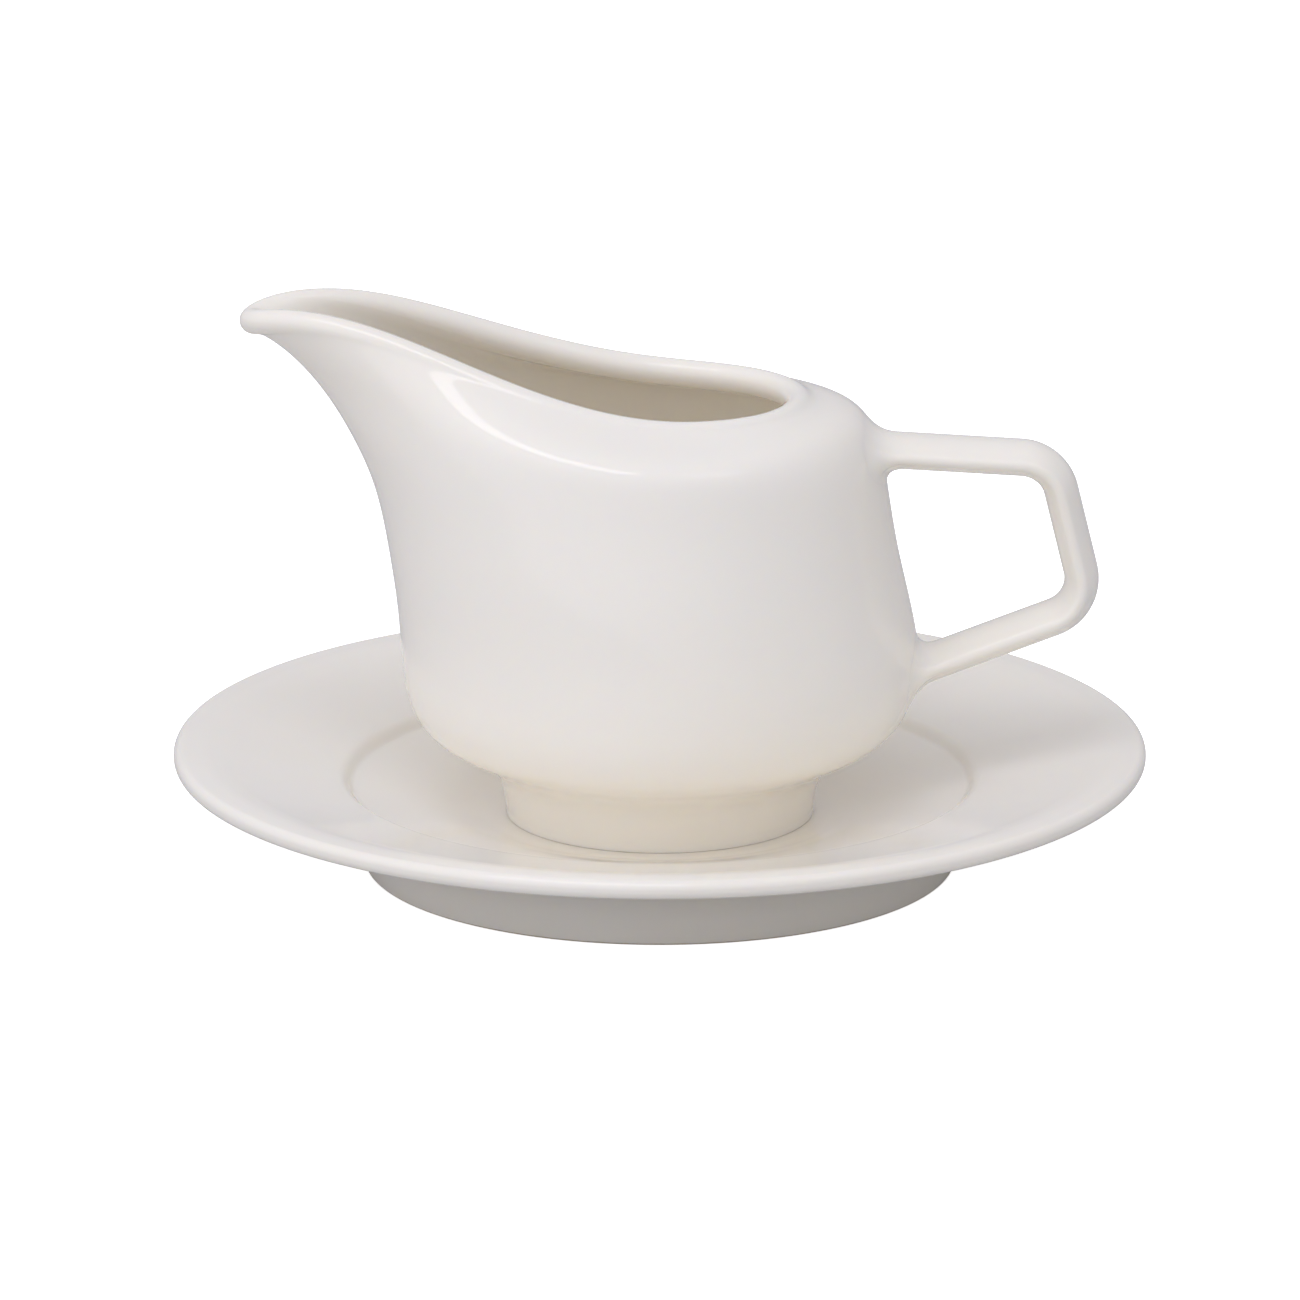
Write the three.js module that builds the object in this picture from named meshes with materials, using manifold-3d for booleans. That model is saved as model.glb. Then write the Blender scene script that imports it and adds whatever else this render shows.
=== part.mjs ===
// Gravy boat on its round saucer, in glazed stoneware.
//
// Millimetres, +Z up. The table is z = 0 and the saucer's axis is the Z axis.
// The spout points along -X, the handle along +X, and the object is symmetric about y = 0.
//
// saucer     one thrown plate with a foot ring, a well and a broad sloping rim
// boat_body  one hollow casting: foot, bowl, leaning wall, sloping shoulder and spout
// handle     a loop cast on its own and luted to the body at two roots

import * as THREE from "three";
import Module from "manifold-3d";

// ---------------------------------------------------------------- driving dimensions

const GAP = 0.3; // clearance kept wherever two pieces touch

const SAUCER_RADIUS = 90;
const SAUCER_LIP_HEIGHT = 22.6; // top of the rim's outer edge
const SAUCER_LIP_THICKNESS = 3.2;
const SAUCER_LEVEL_RADIUS = 84.5; // the rim levels off from here to its edge
const SAUCER_FOOT_RADIUS = 54.6;
const SAUCER_FOOT_WIDTH = 4.4;
const WELL_RADIUS = 57.4; // where the rim drops into the well
const WELL_STEP = 1.9;
const WELL_FLOOR_RADIUS = 33;
const WELL_FLOOR_HEIGHT = 9.7;
const WELL_EDGE_HEIGHT = WELL_FLOOR_HEIGHT + 5.3;
const SAUCER_THICKNESS = 4.3; // through the middle of the well

const BOAT_FOOT_HEIGHT = WELL_FLOOR_HEIGHT + GAP; // where the boat's foot stands
const FOOT_RECESS_RADIUS = 24.4;
const FOOT_RECESS_DEPTH = 2.8;
const FLOOR_HEIGHT = 7.6; // inside of the bowl above the boat's own foot plane
const WALL = 3.7;
const LIP = 5.2; // the wall thickens into a rounded edge round the mouth
const SPOUT_LIP = 4.6;
const LIP_DEPTH = 2.2; // how far down the pile of rings the thickening reaches

const HANDLE_WIDTH = 14;
const HANDLE_THICKNESS = 6.4;
const HANDLE_EDGE_RADIUS = 1.3; // the round along each side, where the two broad faces meet
const HANDLE_BEND_RADIUS = 8;
const ROOT_FLARE = 0.3; // how much wider the loop is where it meets the body
const ROOT_FLARE_LENGTH = 4.5;
const STRAIGHT_STEPS = 8; // steps along each of the loop's two arms

// The outside of the boat is a pile of rings, each one lying across the body.
//   back, front    where the ring crosses y = 0 on the handle side and on the spout side
//   half           half width halfway along the ring
//   taper, pinch   narrow the ring towards the spout: the width follows half + taper c + pinch c^2
//   zBack, zSide, zFront   height at the handle side, halfway and at the spout side
//   swell, crest   lift the sides of the spout above its lip
// c runs from +1 at the handle to -1 at the spout.
const round = (radius, z) => ({
  back: radius, front: -radius, half: radius, taper: 0, pinch: 0,
  zBack: z, zSide: z, zFront: z, swell: 0, crest: 0,
});
const level = (back, front, half, z) => ({ ...round(back, z), front, half });
const spout = (back, front, half, taper, pinch, zBack, zSide, zFront, swell, crest) => ({
  back, front, half, taper, pinch, zBack, zSide, zFront, swell, crest,
});
const RINGS = [
  // foot
  round(28.5, 1.0),
  round(28.9, 4.2),
  round(30.0, 8.0),
  // bowl, turning out from the foot and up into the wall
  level(33.8, -33.6, 33.8, 11.2),
  level(40.0, -39.4, 39.7, 13.8),
  level(45.5, -45.6, 45.5, 17.7),
  // wall, leaning in as it rises
  level(48.6, -47.7, 47.5, 27.0),
  level(46.8, -48.1, 46.1, 38.0),
  level(43.8, -49.9, 44.6, 50.0),
  spout(42.2, -52.2, 41.8, 1.0, -1.0, 61.0, 61.0, 63.0, 0, 0),
  // shoulder, with the spout drawn out in front
  spout(41.0, -57.0, 39.8, 3.5, -3.5, 69.0, 69.9, 73.0, 0, 0),
  spout(39.2, -61.0, 38.6, 6.5, -7.0, 73.6, 74.4, 79.5, 1.0, 0.5),
  spout(36.6, -65.0, 35.8, 8.5, -8.0, 76.6, 77.2, 84.5, 2.0, 1.5),
  spout(32.5, -69.3, 29.5, 8.8, -3.0, 77.9, 80.1, 88.6, 4.4, 3.6),
  // mouth
  spout(28.7, -73.4, 23.6, 8.6, 2.2, 78.3, 83.5, 91.3, 7.2, 6.1),
  spout(27.2, -74.8, 22.7, 9.1, 3.6, 79.4, 84.7, 91.2, 9.2, 5.8),
];
const TOP_RING = RINGS.length - 1;
const FIRST_BOWL_RING = 4.6; // the inside follows the outside from the mouth down to here

// The handle's centre line, as x and the height above the boat's own foot plane.
const HANDLE_LINE = [
  [36.0, 69.2],
  [72.6, 67.0],
  [79.3, 39.3],
  [42.0, 25.0],
];

// Where that line meets the body's outside.
const HANDLE_ROOTS = [
  [40.6, 68.8],
  [47.6, 27.3],
];

const AROUND_BOAT = 52;
const AROUND_SAUCER = 72;
const LIP_DEGREES = [30, 65, 115, 150]; // rows over the mouth's rounded edge
const DISH_STEPS = [0.8, 0.6, 0.4, 0.2]; // rows across the bowl's floor, as shares of its radius
const STEPS_PER_RING = 2;

// ---------------------------------------------------------------- shared shape helpers

// A polyline with each corner [x, y, radius] replaced by an arc of that radius.
function filletCorners(corners, degreesPerStep = 30) {
  const points = [];
  corners.forEach(([x, y, radius = 0], i) => {
    const here = new THREE.Vector2(x, y);
    if (radius === 0 || i === 0 || i === corners.length - 1) {
      points.push(here);
      return;
    }
    const toPrevious = new THREE.Vector2(...corners[i - 1].slice(0, 2)).sub(here).normalize();
    const toNext = new THREE.Vector2(...corners[i + 1].slice(0, 2)).sub(here).normalize();
    const halfAngle = Math.acos(THREE.MathUtils.clamp(toPrevious.dot(toNext), -1, 1)) / 2;
    const bisector = toPrevious.clone().add(toNext).normalize();
    const centre = here.clone().addScaledVector(bisector, radius / Math.sin(halfAngle));
    const tangent = radius / Math.tan(halfAngle);
    const start = here.clone().addScaledVector(toPrevious, tangent).sub(centre);
    const end = here.clone().addScaledVector(toNext, tangent).sub(centre);
    const turn = Math.atan2(start.cross(end), start.dot(end));
    const steps = Math.max(1, Math.round(Math.abs(turn) / THREE.MathUtils.degToRad(degreesPerStep)));
    for (let step = 0; step <= steps; step += 1) {
      points.push(start.clone().rotateAround(new THREE.Vector2(), (turn * step) / steps).add(centre));
    }
  });
  return points;
}

// A closed skin over rows of points. Each row closes on itself, and a row of one point is a pole.
function skinRows(rows) {
  const positions = [];
  const starts = rows.map((row) => {
    const start = positions.length / 3;
    row.forEach((point) => positions.push(point.x, point.y, point.z));
    return start;
  });
  const triangles = [];
  for (let i = 0; i < rows.length - 1; i += 1) {
    const count = Math.max(rows[i].length, rows[i + 1].length);
    for (let j = 0; j < count; j += 1) {
      const next = (j + 1) % count;
      const lower = (k) => starts[i] + (rows[i].length === 1 ? 0 : k);
      const upper = (k) => starts[i + 1] + (rows[i + 1].length === 1 ? 0 : k);
      if (rows[i].length > 1) triangles.push(lower(j), lower(next), upper(j));
      if (rows[i + 1].length > 1) triangles.push(lower(next), upper(next), upper(j));
    }
  }
  const geometry = new THREE.BufferGeometry();
  geometry.setAttribute("position", new THREE.Float32BufferAttribute(positions, 3));
  geometry.setIndex(triangles);
  geometry.computeVertexNormals();
  return geometry;
}

const circleRow = (radius, z, count) => Array.from({ length: count }, (_, j) => {
  const angle = (2 * Math.PI * j) / count;
  return new THREE.Vector3(radius * Math.cos(angle), radius * Math.sin(angle), z);
});
const poleRow = (z) => [new THREE.Vector3(0, 0, z)];
const middleOf = (row) => row.reduce((sum, p) => sum.add(p), new THREE.Vector3()).divideScalar(row.length);

// ---------------------------------------------------------------- saucer

function makeSaucer() {
  const lipRadius = SAUCER_LIP_THICKNESS / 2 - 0.02;
  const lipUnderside = SAUCER_LIP_HEIGHT - SAUCER_LIP_THICKNESS;
  const underside = WELL_FLOOR_HEIGHT - SAUCER_THICKNESS;
  const footInside = SAUCER_FOOT_RADIUS - SAUCER_FOOT_WIDTH;
  const profile = filletCorners([
    // underside, from the axis outwards
    [0, underside],
    [WELL_FLOOR_RADIUS, underside + 0.2, 30],
    [footInside - 2.6, 7.6, 3],
    [footInside, 0, 0.6],
    [SAUCER_FOOT_RADIUS, 0, 0.6],
    [SAUCER_FOOT_RADIUS + 1.6, 9.5, 10],
    [SAUCER_FOOT_RADIUS + 11.5, 15.2, 14],
    // rim edge
    [SAUCER_RADIUS, lipUnderside, lipRadius],
    [SAUCER_RADIUS, SAUCER_LIP_HEIGHT, lipRadius],
    // rim top, step and well, back to the axis
    [SAUCER_LEVEL_RADIUS, SAUCER_LIP_HEIGHT, 24],
    [WELL_RADIUS + 1.2, WELL_EDGE_HEIGHT + WELL_STEP, 3],
    [WELL_RADIUS - 0.3, WELL_EDGE_HEIGHT, 1.6],
    [WELL_FLOOR_RADIUS, WELL_FLOOR_HEIGHT, 34],
    [0, WELL_FLOOR_HEIGHT],
  ]);
  const rows = profile.map((p) => (p.x === 0 ? poleRow(p.y) : circleRow(p.x, p.y, AROUND_SAUCER)));
  return skinRows(rows);
}

// ---------------------------------------------------------------- boat body

// Every measure of a ring, blended along the pile by a uniform cubic B-spline.
function ringAt(t) {
  const span = Math.min(Math.floor(t), TOP_RING - 1);
  const f = t - span;
  const weights = [
    (1 - f) ** 3 / 6,
    (3 * f ** 3 - 6 * f ** 2 + 4) / 6,
    (-3 * f ** 3 + 3 * f ** 2 + 3 * f + 1) / 6,
    f ** 3 / 6,
  ];
  const measure = (key, i) => {
    if (i < 0) return 2 * RINGS[0][key] - RINGS[1][key];
    if (i > TOP_RING) return 2 * RINGS[TOP_RING][key] - RINGS[TOP_RING - 1][key];
    return RINGS[i][key];
  };
  const ring = {};
  Object.keys(RINGS[0]).forEach((key) => {
    ring[key] = weights.reduce((sum, weight, k) => sum + weight * measure(key, span + k - 1), 0);
  });
  return ring;
}

// The boat's outside at height t up the pile and angle u around it; u = 0 is the handle side.
function outside(t, u) {
  const ring = ringAt(t);
  const c = Math.cos(u);
  const s = Math.sin(u);
  const x = (ring.back + ring.front) / 2 + ((ring.back - ring.front) / 2) * c;
  const y = s * (ring.half + ring.taper * c + ring.pinch * c * c);
  const meanEnds = (ring.zBack + ring.zFront) / 2;
  const z = ring.zSide + ((ring.zBack - ring.zFront) / 2) * c + (meanEnds - ring.zSide) * c * c
    - ring.swell * c * s * s + ring.crest * c * c * s * s;
  return new THREE.Vector3(x, y, z);
}

const aroundRing = (t, u) => outside(t, u + 0.01).sub(outside(t, u - 0.01)).normalize();

function outwardNormal(t, u) {
  const dt = 0.01;
  const upPile = outside(Math.min(t + dt, TOP_RING), u).sub(outside(Math.max(t - dt, 0), u));
  return aroundRing(t, u).cross(upPile).normalize();
}

const lipAt = (u) => THREE.MathUtils.lerp(LIP, SPOUT_LIP, ((1 - Math.cos(u)) / 2) ** 2);
function wallAt(t, u) {
  const thickening = THREE.MathUtils.smoothstep(t, TOP_RING - LIP_DEPTH, TOP_RING);
  return THREE.MathUtils.lerp(WALL, lipAt(u), thickening);
}
const boatAngles = Array.from({ length: AROUND_BOAT }, (_, j) => (2 * Math.PI * j) / AROUND_BOAT);
const boatRow = (point) => boatAngles.map(point);

function footRows() {
  const footRadius = RINGS[0].back;
  const corners = [
    [0, FOOT_RECESS_DEPTH],
    [FOOT_RECESS_RADIUS - 0.6, FOOT_RECESS_DEPTH, 1.6],
    [FOOT_RECESS_RADIUS + 0.4, 0, 0.5],
    [footRadius, 0, 0.5],
    [footRadius, RINGS[0].zBack - 0.2],
  ];
  const profile = filletCorners(corners, 40);
  return profile.map((p) => (p.x === 0 ? poleRow(p.y) : circleRow(p.x, p.y, AROUND_BOAT)));
}

function outsideRows(offset = 0) {
  const rows = [];
  for (let step = 0; step <= TOP_RING * STEPS_PER_RING; step += 1) {
    const t = step / STEPS_PER_RING;
    rows.push(boatRow((u) => outside(t, u).addScaledVector(outwardNormal(t, u), offset)));
  }
  return rows;
}

// The mouth's edge: half a circle from the outside over to the inside.
function lipRows() {
  return LIP_DEGREES.map((degrees) => boatRow((u) => {
    const edge = outside(TOP_RING, u);
    const normal = outwardNormal(TOP_RING, u);
    const upward = normal.clone().cross(aroundRing(TOP_RING, u)).normalize();
    const radius = lipAt(u) / 2;
    const angle = THREE.MathUtils.degToRad(degrees);
    return edge
      .addScaledVector(normal, radius * (Math.cos(angle) - 1))
      .addScaledVector(upward, radius * Math.sin(angle));
  }));
}

// The inside keeps the wall's thickness down to the bowl, then closes as a shallow dish.
function insideRows() {
  const inside = (t) => boatRow((u) => outside(t, u).addScaledVector(outwardNormal(t, u), -wallAt(t, u)));
  const rows = [];
  for (let t = TOP_RING; t > FIRST_BOWL_RING; t -= 1 / STEPS_PER_RING) rows.push(inside(t));
  const edge = inside(FIRST_BOWL_RING);
  rows.push(edge);
  const above = inside(FIRST_BOWL_RING + 0.1);
  const rise = edge[0].z - FLOOR_HEIGHT;
  const slope = (above[0].z - edge[0].z) / (above[0].x - edge[0].x);
  const power = (slope * edge[0].x) / rise;
  DISH_STEPS.forEach((f) => {
    rows.push(edge.map((p) => new THREE.Vector3(p.x * f, p.y * f, FLOOR_HEIGHT + rise * f ** power)));
  });
  rows.push(poleRow(FLOOR_HEIGHT));
  return rows;
}

function makeBoatBody() {
  return skinRows([...footRows(), ...outsideRows(), ...lipRows(), ...insideRows()]);
}

// ---------------------------------------------------------------- handle

// A flat oval across the handle: x along the body's Y axis, y across the loop.
// Two shallow arcs meet in a small round at each side.
function handleSection() {
  const reach = HANDLE_WIDTH / 2 - HANDLE_EDGE_RADIUS;
  const rise = HANDLE_THICKNESS / 2 - HANDLE_EDGE_RADIUS;
  const arcRadius = (reach ** 2 + rise ** 2) / (2 * rise);
  const faceRadius = arcRadius + HANDLE_EDGE_RADIUS;
  const edge = Math.acos(reach / arcRadius);
  const points = [];
  const addArc = (x, y, radius, from, to, steps) => {
    for (let k = 0; k < steps; k += 1) {
      const angle = from + ((to - from) * k) / steps;
      points.push(new THREE.Vector2(x + radius * Math.cos(angle), y + radius * Math.sin(angle)));
    }
  };
  addArc(reach, 0, HANDLE_EDGE_RADIUS, -edge, edge, 4);
  addArc(0, rise - arcRadius, faceRadius, edge, Math.PI - edge, 6);
  addArc(-reach, 0, HANDLE_EDGE_RADIUS, Math.PI - edge, Math.PI + edge, 4);
  addArc(0, arcRadius - rise, faceRadius, Math.PI + edge, 2 * Math.PI - edge, 6);
  return points;
}

// The loop as one solid whose two ends run on into the bowl.
function makeHandleSweep() {
  const line = filletCorners(HANDLE_LINE.map(([x, z]) => [x, z, HANDLE_BEND_RADIUS]), 11);
  const roots = HANDLE_ROOTS.map(([x, z]) => new THREE.Vector2(x, z));
  const stations = [line[0]];
  line.slice(1).forEach((point, i) => {
    const parts = i === 0 || i === line.length - 2 ? STRAIGHT_STEPS : 1;
    for (let k = 1; k <= parts; k += 1) stations.push(line[i].clone().lerp(point, k / parts));
  });
  const rows = stations.map((point, i) => {
    const before = stations[Math.max(i - 1, 0)];
    const after = stations[Math.min(i + 1, stations.length - 1)];
    const along = after.clone().sub(before).normalize();
    const toRoot = Math.min(...roots.map((root) => root.distanceTo(point)));
    const flare = 1 + ROOT_FLARE * Math.max(0, 1 - toRoot / ROOT_FLARE_LENGTH) ** 2;
    return handleSection().map((p) => new THREE.Vector3(
      point.x - along.y * p.y * flare,
      p.x * flare,
      point.y + along.x * p.y * flare,
    ));
  });
  return skinRows([[middleOf(rows[0])], ...rows, [middleOf(rows.at(-1))]]);
}

// ---------------------------------------------------------------- solid joins and cuts

const wasm = await Module();
wasm.setup();

function toSolid(geometry) {
  const mesh = new wasm.Mesh({
    numProp: 3,
    vertProperties: new Float32Array(geometry.attributes.position.array),
    triVerts: new Uint32Array(geometry.index.array),
  });
  mesh.merge();
  return new wasm.Manifold(mesh);
}

function toGeometry(solid) {
  const mesh = solid.getMesh();
  const geometry = new THREE.BufferGeometry();
  geometry.setAttribute("position", new THREE.Float32BufferAttribute(mesh.vertProperties, 3));
  geometry.setIndex(Array.from(mesh.triVerts));
  geometry.computeVertexNormals();
  return geometry;
}

// The loop ends a gap short of the body, on a face that follows the body's own curve.
function makeHandle() {
  const envelope = outsideRows(GAP);
  const body = skinRows([[middleOf(envelope[0])], ...envelope, [middleOf(envelope.at(-1))]]);
  return toGeometry(toSolid(makeHandleSweep()).subtract(toSolid(body)));
}

// ---------------------------------------------------------------- assembly

const GLAZE = new THREE.Color(0.93, 0.89, 0.82);
const glaze = (color, roughness) => new THREE.MeshStandardMaterial({ color, roughness, metalness: 0 });

function piece(name, geometry, material) {
  const mesh = new THREE.Mesh(geometry, material);
  mesh.name = name;
  return mesh;
}

const boat = new THREE.Group();
boat.position.z = BOAT_FOOT_HEIGHT;
boat.add(
  piece("boat_body", makeBoatBody(), glaze(GLAZE, 0.16)),
  piece("handle", makeHandle(), glaze(GLAZE, 0.16)),
);

const group = new THREE.Group();
group.add(piece("saucer", makeSaucer(), glaze(GLAZE, 0.16)), boat);

export default group;
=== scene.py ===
"""Looks of the gravy boat on its saucer: dense glazed surfaces, studio floor, light and camera.

Metres, +Z up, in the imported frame: the saucer's axis is Z, the table is z = 0,
the spout points along -X and the handle along +X.
"""

import math

import bpy
import numpy as np
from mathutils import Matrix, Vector
from mathutils.bvhtree import BVHTree


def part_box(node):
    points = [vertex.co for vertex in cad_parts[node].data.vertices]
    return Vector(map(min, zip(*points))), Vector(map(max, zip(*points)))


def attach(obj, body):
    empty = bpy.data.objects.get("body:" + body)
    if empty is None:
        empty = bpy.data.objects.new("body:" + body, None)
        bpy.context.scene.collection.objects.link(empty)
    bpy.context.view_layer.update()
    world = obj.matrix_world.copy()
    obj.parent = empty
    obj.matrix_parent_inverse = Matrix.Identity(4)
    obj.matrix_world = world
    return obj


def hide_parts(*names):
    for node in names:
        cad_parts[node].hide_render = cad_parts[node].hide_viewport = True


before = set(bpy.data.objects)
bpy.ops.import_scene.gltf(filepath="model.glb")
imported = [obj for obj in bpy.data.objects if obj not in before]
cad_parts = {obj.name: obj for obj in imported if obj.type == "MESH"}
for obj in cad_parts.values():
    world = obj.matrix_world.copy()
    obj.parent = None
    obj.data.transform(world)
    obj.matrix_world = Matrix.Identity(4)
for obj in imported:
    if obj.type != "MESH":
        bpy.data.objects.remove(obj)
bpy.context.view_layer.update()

MM = 0.001
FOOT_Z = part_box("boat_body")[0].z        # the plane that the boat's foot stands in
SAUCER_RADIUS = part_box("saucer")[1].x
HANDLE_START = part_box("handle")[0].x     # where the loop leaves the body


# ---------------------------------------------------------------- camera

CAMERA_ELEVATION = math.radians(16.0)
CAMERA_DISTANCE = 3.0
CAMERA_TARGET = Vector((-1.8 * MM, 0, 40.4 * MM))
FRAME_WIDTH = 240.3 * MM                 # what the picture takes in across the target
SENSOR_WIDTH = 36.0


def make_camera():
    data = bpy.data.cameras.new("camera")
    data.sensor_width = SENSOR_WIDTH
    data.lens = SENSOR_WIDTH * CAMERA_DISTANCE / FRAME_WIDTH
    data.clip_end = 20
    camera = bpy.data.objects.new("camera", data)
    back = Vector((0, -math.cos(CAMERA_ELEVATION), math.sin(CAMERA_ELEVATION)))
    camera.location = CAMERA_TARGET + CAMERA_DISTANCE * back
    camera.rotation_euler = (-back).to_track_quat("-Z", "Y").to_euler()
    bpy.context.scene.collection.objects.link(camera)
    bpy.context.scene.camera = camera


make_camera()


# ---------------------------------------------------------------- mesh helpers

def fillet_corners(corners, degrees_per_step=6, longest=1.5 * MM):
    """A polyline whose corners (x, y, radius) are arcs and whose straights are cut into short steps."""
    arcs = []
    for i, corner in enumerate(corners):
        here = np.array(corner[:2], float)
        radius = corner[2] if len(corner) > 2 else 0
        if radius == 0:
            arcs.append([here])
            continue
        to_previous = np.array(corners[i - 1][:2]) - here
        to_next = np.array(corners[i + 1][:2]) - here
        to_previous /= np.linalg.norm(to_previous)
        to_next /= np.linalg.norm(to_next)
        half_angle = math.acos(np.clip(to_previous @ to_next, -1, 1)) / 2
        bisector = (to_previous + to_next) / np.linalg.norm(to_previous + to_next)
        centre = here + bisector * radius / math.sin(half_angle)
        start = here + to_previous * radius / math.tan(half_angle) - centre
        end = here + to_next * radius / math.tan(half_angle) - centre
        turn = math.atan2(start[0] * end[1] - start[1] * end[0], start @ end)
        steps = max(2, round(abs(math.degrees(turn)) / degrees_per_step))
        arc = []
        for step in range(steps + 1):
            angle = turn * step / steps
            spin = np.array([[math.cos(angle), -math.sin(angle)], [math.sin(angle), math.cos(angle)]])
            arc.append(centre + spin @ start)
        arcs.append(arc)
    points = [arcs[0][0]]
    for arc in arcs:
        for point in arc:
            gap = np.linalg.norm(point - points[-1])
            if gap < 1e-7:
                continue
            parts = max(1, math.ceil(gap / longest))
            before = points[-1]
            points += [before + (point - before) * k / parts for k in range(1, parts + 1)]
    return np.array(points)


def skin_rows(name, rows):
    """A closed, smooth-shaded mesh over rows of points; a row of one point is a pole."""
    starts = np.cumsum([0] + [len(row) for row in rows])
    faces = []
    for i in range(len(rows) - 1):
        low, high = len(rows[i]), len(rows[i + 1])
        count = max(low, high)
        for j in range(count):
            k = (j + 1) % count
            if low == 1:
                faces.append((starts[i], starts[i + 1] + k, starts[i + 1] + j))
            elif high == 1:
                faces.append((starts[i] + j, starts[i] + k, starts[i + 1]))
            else:
                faces.append((starts[i] + j, starts[i] + k, starts[i + 1] + k, starts[i + 1] + j))
    mesh = bpy.data.meshes.new(name)
    mesh.from_pydata(np.vstack(rows).tolist(), [], [tuple(int(v) for v in face) for face in faces])
    mesh.shade_smooth()
    mesh.validate()
    piece = bpy.data.objects.new(name, mesh)
    bpy.context.scene.collection.objects.link(piece)
    return piece


def circle_rows(profile, count):
    """Rows of a turned shape from its profile of (radius, height)."""
    angles = np.arange(count) * 2 * math.pi / count
    rows = []
    for radius, height in profile:
        if radius < 1e-9:
            rows.append(np.array([[0, 0, height]]))
            continue
        rows.append(np.stack([radius * np.cos(angles), radius * np.sin(angles), 0 * angles + height], -1))
    return rows


# ---------------------------------------------------------------- saucer

LIP_TOP = 22.6 * MM
LIP_THICKNESS = 3.2 * MM
LEVEL_RADIUS = 84.5 * MM                 # the rim levels off from here to its edge
RING_RADIUS = 54.6 * MM                  # the saucer's foot ring, outside
RING_WIDTH = 4.4 * MM
WELL_RADIUS = 57.4 * MM
WELL_STEP = 1.9 * MM
FLOOR_RADIUS = 33 * MM
FLOOR_Z = 9.7 * MM
WELL_EDGE_Z = FLOOR_Z + 5.3 * MM
SAUCER_THICKNESS = 4.3 * MM              # through the middle of the well
SAUCER_SIDES = 320


def make_saucer():
    lip_radius = LIP_THICKNESS / 2 - 0.02 * MM
    underside = FLOOR_Z - SAUCER_THICKNESS
    ring_inside = RING_RADIUS - RING_WIDTH
    profile = fillet_corners([
        # underside, from the axis outwards
        (0, underside),
        (FLOOR_RADIUS, underside + 0.2 * MM, 30 * MM),
        (ring_inside - 2.6 * MM, 7.6 * MM, 3 * MM),
        (ring_inside, 0, 0.6 * MM),
        (RING_RADIUS, 0, 0.6 * MM),
        (RING_RADIUS + 1.6 * MM, 9.5 * MM, 10 * MM),
        (RING_RADIUS + 11.5 * MM, 15.2 * MM, 14 * MM),
        # rim edge
        (SAUCER_RADIUS, LIP_TOP - LIP_THICKNESS, lip_radius),
        (SAUCER_RADIUS, LIP_TOP, lip_radius),
        # rim top, step and well, back to the axis
        (LEVEL_RADIUS, LIP_TOP, 24 * MM),
        (WELL_RADIUS + 1.2 * MM, WELL_EDGE_Z + WELL_STEP, 3 * MM),
        (WELL_RADIUS - 0.3 * MM, WELL_EDGE_Z, 1.6 * MM),
        (FLOOR_RADIUS, FLOOR_Z, 34 * MM),
        (0, FLOOR_Z),
    ])
    return skin_rows("saucer_glazed", circle_rows(profile, SAUCER_SIDES))


# ---------------------------------------------------------------- boat body

# The outside is a pile of rings; each measure follows a cubic B-spline up the pile. Millimetres:
#   back, front reach; half width, its taper and pinch towards the spout;
#   height at the back, at the side and at the spout; swell and crest of the spout's sides
RINGS = np.array([
    # foot
    (28.5, -28.5, 28.5, 0, 0, 1.0, 1.0, 1.0, 0, 0),
    (28.9, -28.9, 28.9, 0, 0, 4.2, 4.2, 4.2, 0, 0),
    (30.0, -30.0, 30.0, 0, 0, 8.0, 8.0, 8.0, 0, 0),
    # bowl
    (33.8, -33.6, 33.8, 0, 0, 11.2, 11.2, 11.2, 0, 0),
    (40.0, -39.4, 39.7, 0, 0, 13.8, 13.8, 13.8, 0, 0),
    (45.5, -45.6, 45.5, 0, 0, 17.7, 17.7, 17.7, 0, 0),
    # wall
    (48.6, -47.7, 47.5, 0, 0, 27.0, 27.0, 27.0, 0, 0),
    (46.8, -48.1, 46.1, 0, 0, 38.0, 38.0, 38.0, 0, 0),
    (43.8, -49.9, 44.6, 0, 0, 50.0, 50.0, 50.0, 0, 0),
    (42.2, -52.2, 41.8, 1.0, -1.0, 61.0, 61.0, 63.0, 0, 0),
    # shoulder and spout
    (41.0, -57.0, 39.8, 3.5, -3.5, 69.0, 69.9, 73.0, 0, 0),
    (39.2, -61.0, 38.6, 6.5, -7.0, 73.6, 74.4, 79.5, 1.0, 0.5),
    (36.6, -65.0, 35.8, 8.5, -8.0, 76.6, 77.2, 84.5, 2.0, 1.5),
    (32.5, -69.3, 29.5, 8.8, -3.0, 77.9, 80.1, 88.6, 4.4, 3.6),
    # mouth
    (28.7, -73.4, 23.6, 8.6, 2.2, 78.3, 83.5, 91.3, 7.2, 6.1),
    (27.2, -74.8, 22.7, 9.1, 3.6, 79.4, 84.7, 91.2, 9.2, 5.8),
]) * MM
TOP = len(RINGS) - 1.0
NUDGE = 0.004                            # a small step in t or u
INSIDE_END = 4.6                         # the inside follows the outside from the mouth down to here
WALL = 3.7 * MM
LIP = 5.2 * MM                           # the wall thickens into a rounded edge round the mouth
SPOUT_LIP = 4.6 * MM
LIP_DEPTH = 2.2                          # how far down the pile of rings the thickening reaches
INNER_FLOOR = 7.6 * MM
RECESS_RADIUS = 24.4 * MM
RECESS_DEPTH = 2.8 * MM
FOOT_REACH = 0.28 * MM                   # the foot comes down this much closer to the saucer than the CAD
BOAT_SIDES = 256
ROWS_PER_RING = 8
LIP_ROWS = 15                            # over the mouth's rounded edge
DISH_ROWS = 22                           # across the bowl's floor


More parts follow.
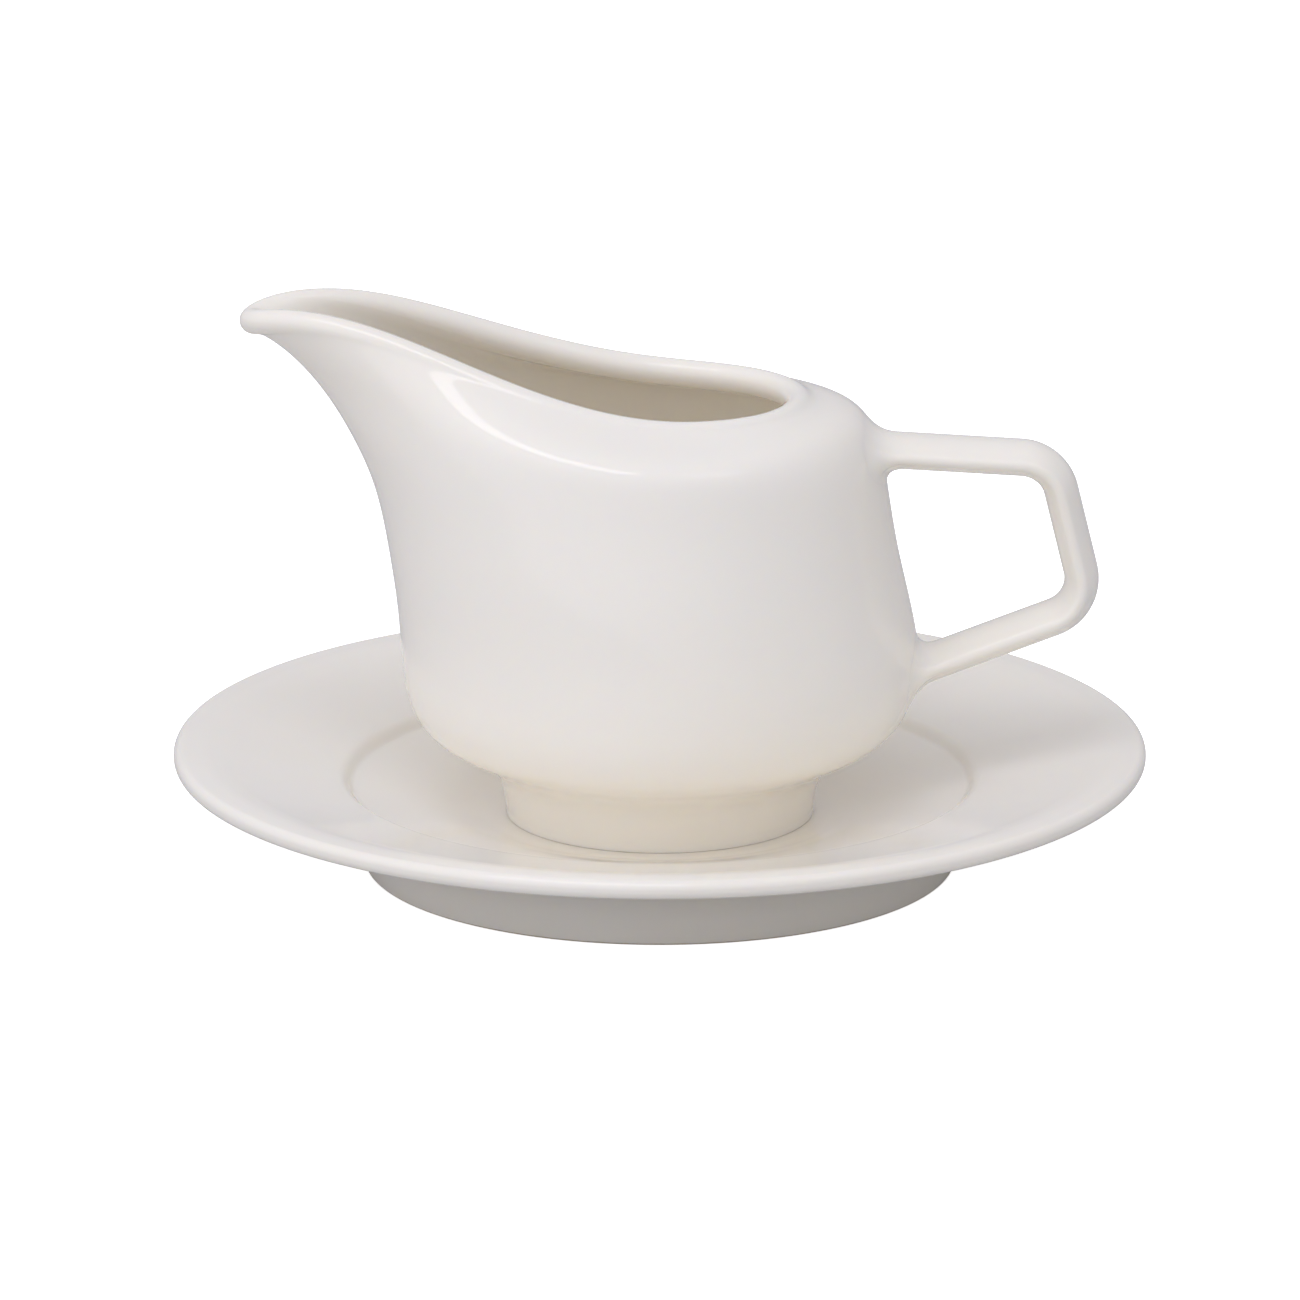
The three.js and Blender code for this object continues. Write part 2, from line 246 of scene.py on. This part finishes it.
def ring_at(t):
    """The ten measures of the ring at t up the pile."""
    padded = np.vstack([2 * RINGS[0] - RINGS[1], RINGS, 2 * RINGS[-1] - RINGS[-2]])
    span = min(int(t), len(RINGS) - 2)
    f = t - span
    weights = np.array([
        (1 - f) ** 3,
        3 * f ** 3 - 6 * f ** 2 + 4,
        -3 * f ** 3 + 3 * f ** 2 + 3 * f + 1,
        f ** 3,
    ])
    return (weights / 6) @ padded[span:span + 4]


def outside(t, u):
    """Points of the boat's outside at t up the pile and at the angles u; u = 0 is the handle side."""
    back, front, half, taper, pinch, z_back, z_side, z_front, swell, crest = ring_at(t)
    c, s = np.cos(u), np.sin(u)
    x = (back + front) / 2 + (back - front) / 2 * c
    y = s * (half + taper * c + pinch * c * c)
    z = z_side + (z_back - z_front) / 2 * c + ((z_back + z_front) / 2 - z_side) * c * c
    z = z - swell * c * s * s + crest * c * c * s * s
    return np.stack([x, y, z + FOOT_Z], -1)


def unit(vectors):
    return vectors / np.linalg.norm(vectors, axis=-1, keepdims=True)


def around_ring(t, u):
    """The direction in which a ring runs, by a small step to both sides."""
    return unit(outside(t, u + NUDGE) - outside(t, u - NUDGE))


def outward(t, u):
    """The outside's normal."""
    up_pile = outside(min(t + NUDGE, TOP), u) - outside(max(t - NUDGE, 0), u)
    return unit(np.cross(around_ring(t, u), up_pile))


def lip_at(u):
    """The lip's thickness, which falls from the handle side to the spout."""
    return (LIP + (SPOUT_LIP - LIP) * ((1 - np.cos(u)) / 2) ** 2)[:, None]


def wall_at(t, u):
    """The wall's thickness, which grows to the lip's over the last few rings."""
    f = np.clip((t - TOP + LIP_DEPTH) / LIP_DEPTH, 0, 1)
    return WALL + (lip_at(u) - WALL) * f * f * (3 - 2 * f)


def foot_rows():
    """The foot's recess, its ground ring and the start of its outer side."""
    radius = RINGS[0][0]
    contact = FOOT_Z - FOOT_REACH
    profile = fillet_corners([
        (0, FOOT_Z + RECESS_DEPTH),
        (RECESS_RADIUS - 0.6 * MM, FOOT_Z + RECESS_DEPTH, 1.6 * MM),
        (RECESS_RADIUS + 0.4 * MM, contact, 0.4 * MM),
        (radius, contact, 0.12 * MM),
        (radius, FOOT_Z + RINGS[0][5] - 0.2 * MM),
    ], degrees_per_step=9)
    return circle_rows(profile, BOAT_SIDES)


def lip_rows(u):
    """The mouth's edge, half a circle from the outside over to the inside."""
    edge = outside(TOP, u)
    normal = outward(TOP, u)
    up = unit(np.cross(normal, around_ring(TOP, u)))
    radius = lip_at(u) / 2
    angles = np.radians(np.linspace(0, 180, LIP_ROWS + 2)[1:-1])
    return [edge + normal * radius * (math.cos(a) - 1) + up * radius * math.sin(a) for a in angles]


def inside_rows(u):
    """The inside keeps the wall's thickness down to the bowl, then closes as a shallow dish."""
    def inside(t):
        """The ring t of the outside, moved in by the wall's thickness."""
        return outside(t, u) - outward(t, u) * wall_at(t, u)

    steps = round((TOP - INSIDE_END) * ROWS_PER_RING)
    rows = [inside(t) for t in np.linspace(TOP, INSIDE_END, steps + 1)]
    edge = rows[-1]
    above = inside(INSIDE_END + 0.02)
    floor = FOOT_Z + INNER_FLOOR
    rise = edge[0][2] - floor
    slope = (above[0][2] - edge[0][2]) / (above[0][0] - edge[0][0])
    power = slope * edge[0][0] / rise
    for f in np.linspace(1, 0, DISH_ROWS + 2)[1:-1]:
        rows.append(np.stack([edge[:, 0] * f, edge[:, 1] * f, floor + (edge[:, 2] - floor) * f ** power], -1))
    rows.append(np.array([[0, 0, floor]]))
    return rows


def make_boat():
    u = np.arange(BOAT_SIDES) * 2 * math.pi / BOAT_SIDES
    steps = int(TOP) * ROWS_PER_RING
    outer = [outside(t, u) for t in np.linspace(0, TOP, steps + 1)]
    return skin_rows("boat_glazed", foot_rows() + outer + lip_rows(u) + inside_rows(u))


# ---------------------------------------------------------------- handle

HANDLE_WIDTH = 14.0 * MM
HANDLE_THICKNESS = 6.4 * MM
HANDLE_EDGE = 1.3 * MM                   # the round along each side, where the two broad faces meet
BEND_RADIUS = 8.0 * MM
ROOT_FILLET = 3.2 * MM                   # how far the root spreads over the body
ROOT_SPREAD = 0.9                        # how much more the fillet spreads to the two sides of the loop
ROOT_LENGTH = 1.2                        # the root's length along the loop, in fillets
ROOT_STEPS = 14
ROOT_SEARCH = 60 * MM                    # how far the body is looked for
TOP_ROOT = 7 * MM                        # the two roots reach this far out from where the loop starts
LOW_ROOT = 15 * MM
ACROSS = np.array([0, 1, 0])             # across the body
HANDLE_LINE = [(36.0, 69.2), (72.6, 67.0), (79.3, 39.3), (42.0, 25.0)]   # x and height above the foot, mm


def handle_section():
    """Points round the loop's flat oval section, and their outward directions.

    Two shallow arcs meet in a small round at each side; x runs across the body and y across the loop.
    """
    reach = HANDLE_WIDTH / 2 - HANDLE_EDGE
    rise = HANDLE_THICKNESS / 2 - HANDLE_EDGE
    arc_radius = (reach ** 2 + rise ** 2) / (2 * rise)
    edge = math.acos(reach / arc_radius)
    sides = [(reach, 0, HANDLE_EDGE, -edge, edge, 12),
             (0, rise - arc_radius, arc_radius + HANDLE_EDGE, edge, math.pi - edge, 24),
             (-reach, 0, HANDLE_EDGE, math.pi - edge, math.pi + edge, 12),
             (0, arc_radius - rise, arc_radius + HANDLE_EDGE, math.pi + edge, 2 * math.pi - edge, 24)]
    points, normals = [], []
    for x, y, radius, start, end, steps in sides:
        angles = np.linspace(start, end, steps, endpoint=False)
        outwards = np.stack([np.cos(angles), np.sin(angles)], -1)
        points.append(np.array([x, y]) + radius * outwards)
        normals.append(outwards)
    return np.vstack(points), np.vstack(normals)


def root_rows(boat_tree, start, along, section, normals):
    """Rows of a fillet from the loop's section at start, running along, out onto the body's surface."""
    upward = np.cross(along, ACROSS)
    fillet = ROOT_FILLET * (1 + ROOT_SPREAD * normals[:, :1] ** 2)

    def on_body(spread):
        """Where the section, grown by a share of the fillet, meets the body."""
        found = []
        for a, b in section + normals * fillet * spread:
            origin = start + ACROSS * a + upward * b
            found.append(boat_tree.ray_cast(Vector(origin), Vector(along), ROOT_SEARCH)[0])
        return np.array(found)

    rows = []
    for s in np.linspace(0, 1, ROOT_STEPS + 1):
        rows.append(on_body(s ** 2) - along * fillet * ROOT_LENGTH * (1 - s) ** 2)
    # the last two rows lie just inside the body, so that the visible edge keeps the body's own shading
    rows.append(on_body(1.06) + along * 0.03 * MM)
    rows.append(rows[-1] + along * 0.8 * MM)
    return rows


def make_handle(boat):
    line = [(x * MM, FOOT_Z + z * MM) for x, z in HANDLE_LINE]
    corners = [line[0], (*line[1], BEND_RADIUS), (*line[2], BEND_RADIUS), line[3]]
    path = fillet_corners(corners, degrees_per_step=4)
    path = np.stack([path[:, 0], 0 * path[:, 0], path[:, 1]], -1)
    section, normals = handle_section()
    tree = BVHTree.FromPolygons([v.co for v in boat.data.vertices], [p.vertices for p in boat.data.polygons])

    def loop_row(i):
        along = unit(path[min(i + 1, len(path) - 1)] - path[max(i - 1, 0)])
        upward = np.cross(along, ACROSS)
        return path[i] + section[:, :1] * ACROSS + section[:, 1:] * upward

    def root(end, inner):
        """The rows from the loop to the body; the first root runs backwards, so its section is mirrored."""
        along = unit(path[end] - path[inner])
        turned = np.array([1, -1 if end == 0 else 1])
        return root_rows(tree, path[inner], along, section * turned, normals * turned)

    last = len(path) - 1
    middle = len(path) // 2
    top_start = next(i for i in range(middle) if path[i][0] > HANDLE_START + TOP_ROOT)
    low_start = next(i for i in range(last, middle, -1) if path[i][0] > HANDLE_START + LOW_ROOT)
    top_root = root(0, top_start)[::-1]
    low_root = root(last, low_start)
    body = [loop_row(i) for i in range(top_start, low_start + 1)]
    rows = top_root + body + low_root
    first_cap = rows[0].mean(0, keepdims=True)
    last_cap = rows[-1].mean(0, keepdims=True)
    return skin_rows("handle_glazed", [first_cap, *rows, last_cap])


# ---------------------------------------------------------------- materials

GLAZE_COLOUR = (0.95, 0.918, 0.85, 1)
GLAZE_WARM = (0.942, 0.906, 0.828, 1)
BISQUE_COLOUR = (0.66, 0.60, 0.50, 1)    # ground clay
GLAZE_ROUGHNESS = (0.05, 0.09)
BISQUE_ROUGHNESS = (0.55, 0.7)
BARE_EDGE = 0.12 * MM                    # how softly the glaze gives way to bare clay
BARE_WOBBLE = 0.25 * MM
SWELL_DEPTH = 0.08 * MM                  # slow unevenness of the glaze
SCATTER_DEPTH = 0.6 * MM
# noise scales, in cycles per metre
TONE_SCALE = 14
GLOSS_SCALE = 45
SWELL_SCALE = 90
EDGE_SCALE = 260
GRAIN_SCALE = 900


def add(tree, kind, **values):
    """A new node with its settings."""
    node = tree.nodes.new(kind)
    for name, value in values.items():
        setattr(node, name, value)
    return node


def noise(tree, coords, scale, detail):
    """A noise value between 0 and 1."""
    node = add(tree, "ShaderNodeTexNoise")
    node.inputs["Scale"].default_value = scale
    node.inputs["Detail"].default_value = detail
    tree.links.new(coords, node.inputs["Vector"])
    return node.outputs["Fac"]


def map_range(tree, value, low, high, to_low, to_high):
    """The value, eased from one range to another."""
    node = add(tree, "ShaderNodeMapRange", interpolation_type="SMOOTHSTEP")
    for name, number in (("From Min", low), ("From Max", high), ("To Min", to_low), ("To Max", to_high)):
        node.inputs[name].default_value = number
    tree.links.new(value, node.inputs["Value"])
    return node.outputs["Result"]


def mix_colour(tree, factor, first, second):
    """A blend of two colours, each a tuple or a socket."""
    node = add(tree, "ShaderNodeMix", data_type="RGBA")
    tree.links.new(factor, node.inputs["Factor"])
    for socket, colour in ((node.inputs[6], first), (node.inputs[7], second)):
        if isinstance(colour, tuple):
            socket.default_value = colour
        else:
            tree.links.new(colour, socket)
    return node.outputs[2]


def math_node(tree, operation, first, second):
    """A sum, product or the like of two values, each a number or a socket."""
    node = add(tree, "ShaderNodeMath", operation=operation)
    for socket, value in ((node.inputs[0], first), (node.inputs[1], second)):
        if isinstance(value, (int, float)):
            socket.default_value = value
        else:
            tree.links.new(value, socket)
    return node.outputs[0]


def make_glaze(name, bare_below):
    """Bone-white glaze with a slow drift in tone and gloss; below a height the clay is ground bare."""
    material = bpy.data.materials.new(name)
    material.use_nodes = True
    tree = material.node_tree
    shader = tree.nodes["Principled BSDF"]
    coords = add(tree, "ShaderNodeTexCoord").outputs["Object"]
    height = add(tree, "ShaderNodeSeparateXYZ")
    tree.links.new(coords, height.inputs[0])

    drift = noise(tree, coords, TONE_SCALE, 2)
    tone = mix_colour(tree, map_range(tree, drift, 0.35, 0.65, 0, 1), GLAZE_COLOUR, GLAZE_WARM)
    wobble = math_node(tree, "MULTIPLY", noise(tree, coords, EDGE_SCALE, 2), BARE_WOBBLE)
    edge = math_node(tree, "ADD", height.outputs["Z"], wobble)
    bare = map_range(tree, edge, bare_below, bare_below + BARE_EDGE, 1, 0)
    tree.links.new(mix_colour(tree, bare, tone, BISQUE_COLOUR), shader.inputs["Base Color"])

    gloss = map_range(tree, noise(tree, coords, GLOSS_SCALE, 3), 0.3, 0.7, *GLAZE_ROUGHNESS)
    grain = map_range(tree, noise(tree, coords, GRAIN_SCALE, 2), 0.3, 0.7, *BISQUE_ROUGHNESS)
    rough = add(tree, "ShaderNodeMix", data_type="FLOAT")
    tree.links.new(bare, rough.inputs["Factor"])
    tree.links.new(gloss, rough.inputs[2])
    tree.links.new(grain, rough.inputs[3])
    tree.links.new(rough.outputs[0], shader.inputs["Roughness"])

    swell = add(tree, "ShaderNodeBump")
    swell.inputs["Strength"].default_value = 0.25
    swell.inputs["Distance"].default_value = SWELL_DEPTH
    tree.links.new(noise(tree, coords, SWELL_SCALE, 1), swell.inputs["Height"])
    tree.links.new(swell.outputs["Normal"], shader.inputs["Normal"])

    shader.inputs["IOR"].default_value = 1.5
    shader.inputs["Subsurface Weight"].default_value = 0.5
    shader.inputs["Subsurface Radius"].default_value = (1.0, 0.85, 0.6)
    shader.inputs["Subsurface Scale"].default_value = SCATTER_DEPTH
    return material


def dress(piece, body, node, material):
    """Gives a piece its material, its body and the CAD node whose place it takes."""
    piece.data.materials.append(material)
    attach(piece, body)
    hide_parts(node)


# ---------------------------------------------------------------- studio

FLOOR_REACH = 6.0
FLOOR_ALBEDO = 0.9
FLOOR_GLOW = 0.8                         # the floor that is seen stays white
BOUNCE_ALBEDO = 0.60
BOUNCE_DROP = 0.2 * MM                   # the floor that throws light back lies this much lower
LIGHT_COLOUR = (0.955, 0.938, 1.0)       # a cool light, so that the cream glaze reads as bone white
LIGHT_DISTANCE = 1.5
STUDIO_MIDDLE = Vector((0, 0, 50 * MM))
SKY_BELOW = 0.40
SKY_ABOVE = 0.57
SKY_FILL = 0.54                          # a broad glow from the front and left
FILL_FROM = Vector((-0.50, -0.72, 0.48))
# name, azimuth (0 is the camera's side), elevation, width, height, radiance
SOFTBOXES = [
    ("left_box", -30, 68, 0.95, 0.42, 2.5),
    ("right_box", 62, 60, 0.45, 0.40, 1.0),
]
MOST_BOUNCES = 16
DIFFUSE_BOUNCES = 12                     # a white bowl is lit mostly by itself


def make_plane(name, z, material):
    """A wide square of floor at a height."""
    reach = FLOOR_REACH
    mesh = bpy.data.meshes.new(name)
    corners = [(-reach, -reach, z), (reach, -reach, z), (reach, reach, z), (-reach, reach, z)]
    mesh.from_pydata(corners, [], [(0, 1, 2, 3)])
    mesh.materials.append(material)
    plane = bpy.data.objects.new(name, mesh)
    bpy.context.scene.collection.objects.link(plane)
    return plane


def make_paper(name, albedo, glow):
    """Matt paper that may glow a little."""
    material = bpy.data.materials.new(name)
    material.use_nodes = True
    shader = material.node_tree.nodes["Principled BSDF"]
    shader.inputs["Base Color"].default_value = (albedo, albedo, albedo, 1)
    shader.inputs["Roughness"].default_value = 0.9
    shader.inputs["Specular IOR Level"].default_value = 0.0
    shader.inputs["Emission Color"].default_value = (1, 1, 1, 1)
    shader.inputs["Emission Strength"].default_value = glow
    return material


def make_floor():
    """A white floor for the eye, and under it a grey one that throws light back onto the object."""
    seen = make_plane("floor", 0, make_paper("floor_white", FLOOR_ALBEDO, FLOOR_GLOW))
    seen.visible_diffuse = False
    seen.visible_glossy = False
    seen.visible_shadow = False
    bounce = make_plane("floor_bounce", -BOUNCE_DROP, make_paper("floor_grey", BOUNCE_ALBEDO, 0))
    bounce.visible_camera = False


def softbox(name, azimuth, elevation, width, height, radiance):
    """A rectangular light that faces the object from an azimuth and an elevation in degrees."""
    a, e = math.radians(azimuth), math.radians(elevation)
    direction = Vector((math.sin(a) * math.cos(e), -math.cos(a) * math.cos(e), math.sin(e)))
    data = bpy.data.lights.new(name, "AREA")
    data.shape = "RECTANGLE"
    data.size = width
    data.size_y = height
    data.energy = radiance * math.pi * width * height
    data.color = LIGHT_COLOUR
    light = bpy.data.objects.new(name, data)
    light.location = STUDIO_MIDDLE + LIGHT_DISTANCE * direction
    light.rotation_euler = direction.to_track_quat("Z", "Y").to_euler()
    bpy.context.scene.collection.objects.link(light)


def make_sky():
    """A soft sky: paler above the horizon, with a broad glow from the front and left."""
    world = bpy.data.worlds.new("studio")
    world.use_nodes = True
    tree = world.node_tree
    direction = add(tree, "ShaderNodeTexCoord").outputs["Generated"]
    height = add(tree, "ShaderNodeSeparateXYZ")
    tree.links.new(direction, height.inputs[0])
    sky = map_range(tree, height.outputs["Z"], -0.3, 0.25, SKY_BELOW, SKY_ABOVE)
    facing = add(tree, "ShaderNodeVectorMath", operation="DOT_PRODUCT")
    tree.links.new(direction, facing.inputs[0])
    facing.inputs[1].default_value = FILL_FROM
    fill = map_range(tree, facing.outputs["Value"], 0.1, 1, 0, SKY_FILL)
    background = tree.nodes["Background"]
    background.inputs["Color"].default_value = (*LIGHT_COLOUR, 1)
    tree.links.new(math_node(tree, "ADD", sky, fill), background.inputs["Strength"])
    bpy.context.scene.world = world


def make_studio():
    make_floor()
    for box in SOFTBOXES:
        softbox(*box)
    make_sky()
    bpy.context.scene.view_settings.view_transform = "Standard"
    bpy.context.scene.cycles.max_bounces = MOST_BOUNCES
    bpy.context.scene.cycles.diffuse_bounces = DIFFUSE_BOUNCES


# ---------------------------------------------------------------- assembly

saucer = make_saucer()
boat = make_boat()
handle = make_handle(boat)
saucer_glaze = make_glaze("saucer_glaze", 0.45 * MM)
boat_glaze = make_glaze("boat_glaze", FOOT_Z - 0.16 * MM)
handle_glaze = make_glaze("handle_glaze", FOOT_Z)
dress(saucer, "saucer", "saucer", saucer_glaze)
dress(boat, "boat", "boat_body", boat_glaze)
dress(handle, "boat", "handle", handle_glaze)
make_studio()
